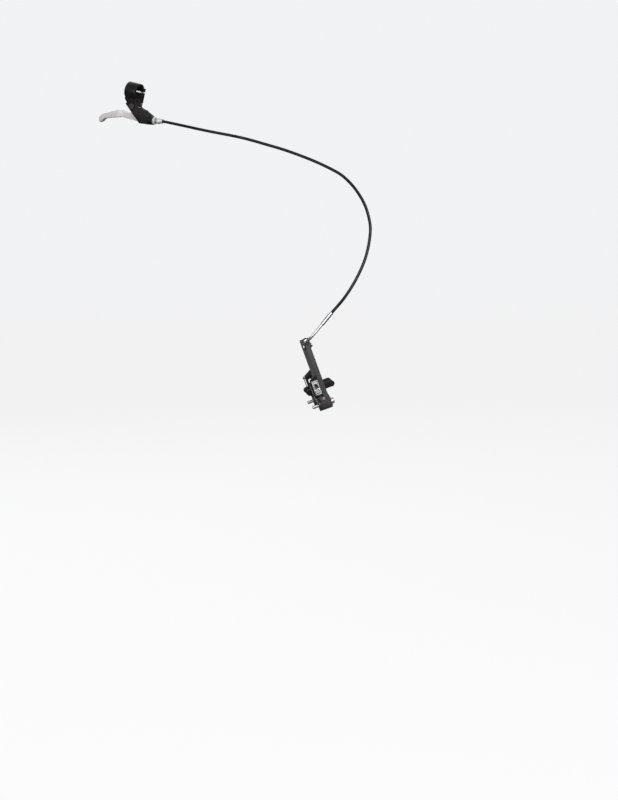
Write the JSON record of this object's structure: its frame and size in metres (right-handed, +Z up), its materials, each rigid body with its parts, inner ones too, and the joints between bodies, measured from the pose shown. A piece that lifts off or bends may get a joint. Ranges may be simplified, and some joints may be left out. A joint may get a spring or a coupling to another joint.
{
  "type": "linear-pull brake set with hand lever",
  "caption": "Front bicycle brake: hand lever for a 22.2 mm bar, black cable in a free loop, guide pipe, and a linear-pull brake with arms, pads, springs and post bolts.",
  "frame": {"origin": "middle of the handlebar clamp, on the bar's axis", "axes": "+X forwards, +Y to the rider's left, +Z up, with the bicycle upright"},
  "size_m": [0.4441, 0.3743, 0.5488],
  "materials": {
    "bracket_black": "satin",
    "blade_alloy": "satin",
    "bright_steel": "satin",
    "dark_steel": "satin",
    "black_plastic": "matte",
    "housing_black": "gloss",
    "boot_rubber": "matte",
    "pad_rubber": "matte",
    "arm_grey": "satin",
    "bush_bronze": "satin",
    "adjuster_alloy": "gloss",
    "tension_red": "satin"
  },
  "bodies": {
    "frame_side": {"lever_bracket": "bracket_black", "pinch_bolt": "bright_steel", "pivot_bolt": "bright_steel", "pivot_nut": "bright_steel", "reach_screw": "dark_steel", "upper_ferrule": "bush_bronze", "cable_housing": "housing_black", "pivot_bush_right": "bright_steel", "spring_housing_right": "black_plastic", "return_spring_right": "bright_steel", "mount_bolt_right": "bright_steel", "pivot_bush_left": "bright_steel", "spring_housing_left": "black_plastic", "return_spring_left": "bright_steel", "mount_bolt_left": "bright_steel"},
    "lever": {"lever_blade": "blade_alloy", "blade_bush": "bush_bronze"},
    "nipple": {"cable_nipple": "bright_steel", "lever_wire": "bright_steel"},
    "lock_ring": {"lock_ring": "adjuster_alloy"},
    "adjuster": {"barrel_adjuster": "adjuster_alloy"},
    "arm_right": {"arm_right": "arm_grey", "pad_right": "pad_rubber", "pad_post_right": "bright_steel", "cup_washer_right": "dark_steel", "dome_washer_right": "dark_steel", "flat_washer_right": "bright_steel", "slot_plate_right": "bright_steel", "pad_nut_right": "bright_steel", "tension_screw_right": "tension_red", "link_pin": "bright_steel"},
    "arm_left": {"arm_left": "arm_grey", "pad_left": "pad_rubber", "pad_post_left": "bright_steel", "cup_washer_left": "dark_steel", "dome_washer_left": "dark_steel", "flat_washer_left": "bright_steel", "slot_plate_left": "bright_steel", "pad_nut_left": "bright_steel", "tension_screw_left": "tension_red", "anchor_bolt": "bright_steel", "anchor_washer": "bright_steel", "brake_wire": "bright_steel", "wire_end_cap": "black_plastic"},
    "noodle": {"noodle_pipe": "bright_steel", "noodle_ferrule": "bright_steel", "noodle_link": "dark_steel", "rubber_boot": "boot_rubber"}
  },
  "joints": [
    {"name": "lever_pull", "type": "hinge", "parent": "frame_side", "child": "lever", "pos_m": [0.00001, -0.00001, -0.02658], "axis": [0.5534, 0.8329, 0], "range_deg": [0, 24], "stiffness_Nm_per_rad": 0.6, "springref_deg": -8.59, "deforming": ["cable_housing", "brake_wire"]},
    {"name": "nipple_swivel", "type": "hinge", "parent": "lever", "child": "nipple", "pos_m": [0.01546, -0.01027, -0.0499], "axis": [0.5534, 0.8329, 0], "range_deg": [-38, 0], "deforming": ["lever_wire"]},
    {"name": "arm_right_swing", "type": "hinge", "parent": "frame_side", "child": "arm_right", "pos_m": [0.303, -0.3057, -0.5176], "axis": [0.9397, 0, 0.342], "range_deg": [-3.4, 0], "stiffness_Nm_per_rad": 0.9, "springref_deg": 17.19, "deforming": ["return_spring_right"]},
    {"name": "arm_left_swing", "type": "hinge", "parent": "frame_side", "child": "arm_left", "pos_m": [0.303, -0.2257, -0.5176], "axis": [0.9397, 0, 0.342], "range_deg": [0, 3.4], "stiffness_Nm_per_rad": 0.9, "springref_deg": -17.19, "deforming": ["return_spring_left"]},
    {"name": "noodle_swing", "type": "hinge", "parent": "arm_right", "child": "noodle", "pos_m": [0.27207, -0.3107, -0.42414], "axis": [0.9397, 0, 0.342], "range_deg": [0, 3.4]},
    {"name": "lock_ring_turn", "type": "hinge", "parent": "frame_side", "child": "lock_ring", "pos_m": [0.0343, -0.02279, -0.05184], "axis": [0.8299, -0.5514, -0.0854], "continuous": true},
    {"name": "adjuster_turn", "type": "hinge", "parent": "frame_side", "child": "adjuster", "pos_m": [0.04285, -0.02847, -0.05272], "axis": [0.8299, -0.5514, -0.0854], "continuous": true}
  ],
  "couplings": [
    {"joint": "nipple_swivel", "follows": "lever_pull", "ratio": -1.57},
    {"joint": "arm_right_swing", "follows": "lever_pull", "ratio": -0.1375},
    {"joint": "arm_left_swing", "follows": "lever_pull", "ratio": 0.1375},
    {"joint": "noodle_swing", "follows": "lever_pull", "ratio": 0.1375}
  ]
}
